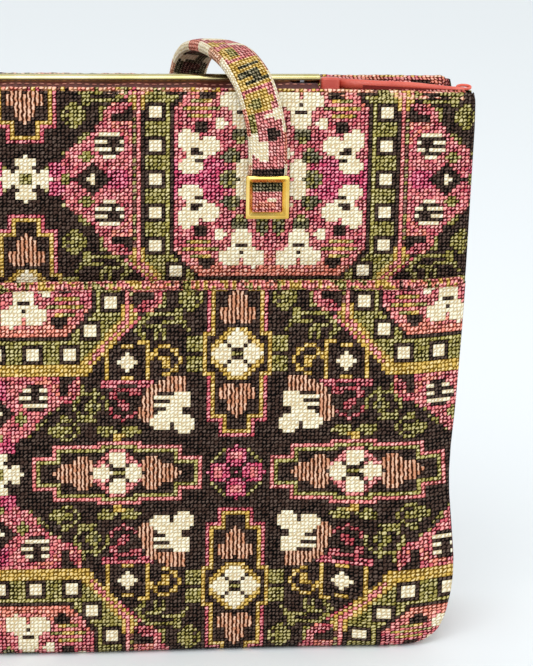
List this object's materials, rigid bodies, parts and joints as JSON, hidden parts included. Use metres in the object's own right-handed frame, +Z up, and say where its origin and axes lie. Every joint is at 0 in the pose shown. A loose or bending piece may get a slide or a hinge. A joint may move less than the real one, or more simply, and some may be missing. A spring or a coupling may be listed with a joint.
{
  "type": "box purse",
  "caption": "Stiff tapestry handbag with an open front pocket, folded side gussets, a hinged inner frame with two brass bars, and two padded strap handles on square brass mounts.",
  "frame": {"origin": "middle of the flat base, half way between the front and back walls", "axes": "+X to the right along the bag's width, +Y from front to back, +Z up"},
  "size_m": [0.32, 0.0695, 0.2175],
  "materials": {
    "tapestry": "fine counted stitch in wool, matt",
    "strap_tapestry": "fine counted stitch in wool over a padded strap",
    "rose_wool": "rose wool stitches",
    "olive_wool": "olive wool stitches",
    "cream_wool": "cream wool stitches",
    "coral_leather": "smooth coral leather",
    "board": "plain stiffening board, inside the walls",
    "brass": "polished pale brass",
    "steel": "plain steel"
  },
  "bodies": {
    "shell": {"front_cover": "tapestry", "back_cover": "tapestry", "base_cover": "tapestry", "right_gusset": "tapestry", "left_gusset": "tapestry", "front_board": "board", "back_board": "board", "base_board": "board", "front_lining": "coral_leather", "back_lining": "coral_leather", "base_lining": "coral_leather", "right_gusset_lining": "coral_leather", "left_gusset_lining": "coral_leather", "pocket_cover": "tapestry", "pocket_lining": "coral_leather", "front_rose_fields": "rose_wool", "front_olive_bands": "olive_wool", "front_cream_flowers": "cream_wool", "pocket_rose_fields": "rose_wool", "pocket_olive_bands": "olive_wool", "pocket_cream_flowers": "cream_wool", "back_rose_fields": "rose_wool", "back_olive_bands": "olive_wool", "back_cream_flowers": "cream_wool", "right_hinge_pin": "steel", "left_hinge_pin": "steel", "right_hinge_tab": "coral_leather", "left_hinge_tab": "coral_leather", "front_flange": "coral_leather", "back_flange": "coral_leather", "front_right_mount": "brass", "front_left_mount": "brass", "back_right_mount": "brass", "back_left_mount": "brass", "front_right_strap_end": "strap_tapestry", "front_left_strap_end": "strap_tapestry", "back_right_strap_end": "strap_tapestry", "back_left_strap_end": "strap_tapestry"},
    "front_frame": {"front_bar": "brass", "front_right_arm": "steel", "front_left_arm": "steel"},
    "back_frame": {"back_bar": "brass", "back_right_arm": "steel", "back_left_arm": "steel"},
    "front_handle": {"front_handle": "strap_tapestry"},
    "back_handle": {"back_handle": "strap_tapestry"}
  },
  "joints": [
    {"name": "front_frame_swing", "type": "hinge", "parent": "shell", "child": "front_frame", "pos_m": [0, 0, 0.166], "axis": [1, 0, 0], "range_deg": [0, 26], "deforming": ["front_flange"]},
    {"name": "back_frame_swing", "type": "hinge", "parent": "shell", "child": "back_frame", "pos_m": [0, 0, 0.166], "axis": [1, 0, 0], "range_deg": [-26, 0], "deforming": ["back_flange"]},
    {"name": "front_handle_lift", "type": "hinge", "parent": "shell", "child": "front_handle", "pos_m": [0, -0.0282, 0.1767], "axis": [1, 0, 0], "range_deg": [0, 75]},
    {"name": "back_handle_lift", "type": "hinge", "parent": "shell", "child": "back_handle", "pos_m": [0, 0.0282, 0.1553], "axis": [1, 0, 0], "range_deg": [0, 115]}
  ],
  "couplings": [
    {"joint": "back_frame_swing", "follows": "front_frame_swing", "ratio": -1}
  ]
}
